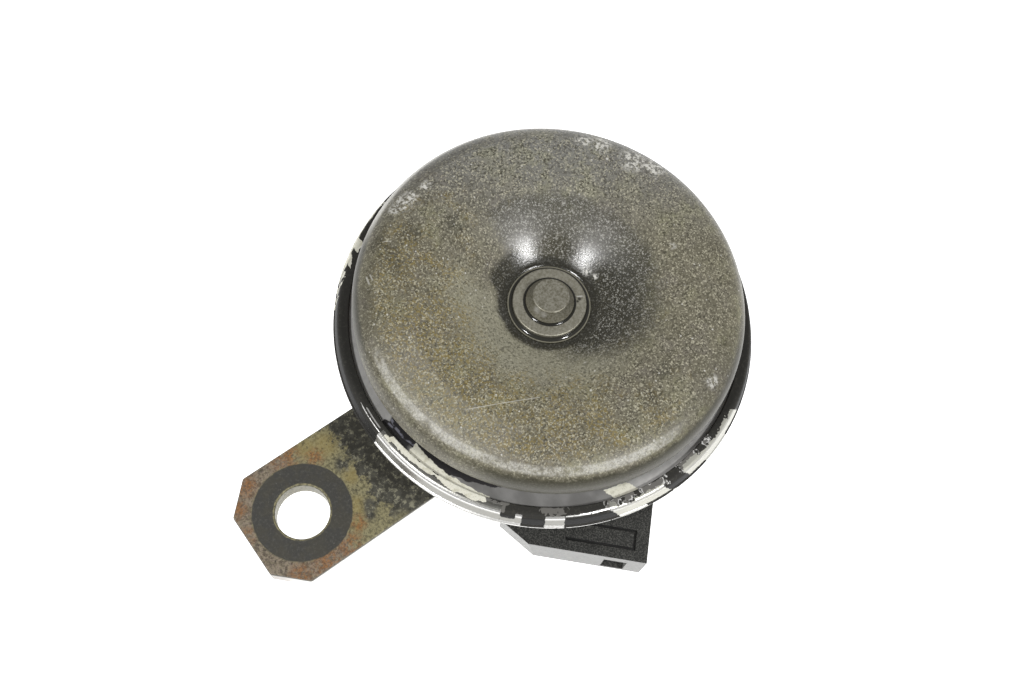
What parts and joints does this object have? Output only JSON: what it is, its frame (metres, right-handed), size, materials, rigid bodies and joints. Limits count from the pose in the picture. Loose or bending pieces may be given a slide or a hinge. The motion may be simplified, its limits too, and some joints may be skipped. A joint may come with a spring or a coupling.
{
  "type": "electric disc horn",
  "caption": "Small vehicle disc horn: dished tone disc over a clamped diaphragm and drawn steel casing, flat swivelling stay with a cut-cornered end, moulded plug socket at the rear.",
  "frame": {"origin": "centre of the stay's bolt hole, on the stay's rear face", "axes": "+X from the bolt hole to the horn's axis, +Z along the horn's axis out of its front, +Y completes a right-handed set"},
  "size_m": [0.0928, 0.0747, 0.0396],
  "materials": {
    "zinc_plate": "yellow-passivated zinc plate, grimy, rust at the free end",
    "bright_steel": "clear zinc plate",
    "black_enamel": "satin black enamel, chipped to bare metal at the rim",
    "disc_enamel": "aged black enamel covered in pale brown speckle",
    "bare_steel": "bare turned steel, dulled",
    "spring_steel": "dark hardened sheet steel",
    "soft_iron": "bare machined iron",
    "gasket_fibre": "oiled fibre sheet",
    "nylon": "natural nylon",
    "copper_wire": "enamelled copper wire",
    "amber_tape": "varnished tape",
    "phenolic": "brown laminated phenolic",
    "spring_bronze": "rolled bronze strip",
    "contact_alloy": "tungsten contact faces",
    "turned_brass": "turned brass",
    "socket_plastic": "fine-grained black moulding",
    "black_rubber": "sheet rubber",
    "tinned_brass": "tinned brass",
    "ceramic": "glazed ceramic with pressed end caps",
    "red_lead": "varnished red insulation",
    "blue_lead": "varnished blue insulation"
  },
  "bodies": {
    "stay": {"stay": "zinc_plate"},
    "horn": {"rear_casing": "black_enamel", "stay_bolt": "zinc_plate", "spring_washer": "bright_steel", "clamp_ring": "black_enamel", "rear_gasket": "gasket_fibre", "front_gasket": "gasket_fibre", "diaphragm": "spring_steel", "pole_core": "soft_iron", "coil_bobbin": "nylon", "coil_winding": "copper_wire", "coil_wrap": "amber_tape", "coil_clip": "bright_steel", "contact_base": "phenolic", "spring_root": "spring_bronze", "contact_insulator": "phenolic", "fixed_contact_arm": "spring_bronze", "fixed_point": "contact_alloy", "stack_cap_plate": "bright_steel", "stack_rivets": "bright_steel", "adjuster_bush": "bright_steel", "adjuster_lock_nut": "bright_steel", "plug_socket": "socket_plastic", "socket_gasket": "black_rubber", "inner_terminal": "tinned_brass", "outer_terminal": "tinned_brass", "socket_rivets": "tinned_brass", "terminal_insulators": "nylon", "arc_resistor": "ceramic", "resistor_leads": "bright_steel", "coil_lead": "red_lead", "contact_lead": "blue_lead", "return_lead": "red_lead"},
    "sounder": {"tone_disc": "disc_enamel", "front_washer": "bare_steel", "centre_stud": "bare_steel", "disc_collar": "bright_steel", "armature": "soft_iron", "armature_spacer": "bright_steel"},
    "breaker_spring": {"contact_spring": "spring_bronze", "push_button": "phenolic", "moving_point": "contact_alloy"},
    "adjuster": {"adjusting_screw": "turned_brass"}
  },
  "joints": [
    {"name": "stay_swivel", "type": "hinge", "parent": "stay", "child": "horn", "pos_m": [0.0485, 0, 0.002], "axis": [0, 0, 1], "range_deg": [-4, 80]},
    {"name": "diaphragm_stroke", "type": "slide", "parent": "horn", "child": "sounder", "axis": [0, 0, 1], "range_m": [-0.00045, 0.0002], "stiffness_N_per_m": 200000, "deforming": ["diaphragm"]},
    {"name": "breaker_hinge", "type": "hinge", "parent": "horn", "child": "breaker_spring", "pos_m": [0.06593, 0.00467, 0.0154], "axis": [-0.2588, 0.9659, 0], "range_deg": [-3.6, 1.6]},
    {"name": "adjuster_turn", "type": "hinge", "parent": "horn", "child": "adjuster", "pos_m": [0.06331, 0.01391, 0], "axis": [0, 0, 1], "range_deg": [-180, 180]}
  ],
  "couplings": [
    {"joint": "breaker_hinge", "follows": "diaphragm_stroke", "rad_per_m": 135.13}
  ]
}
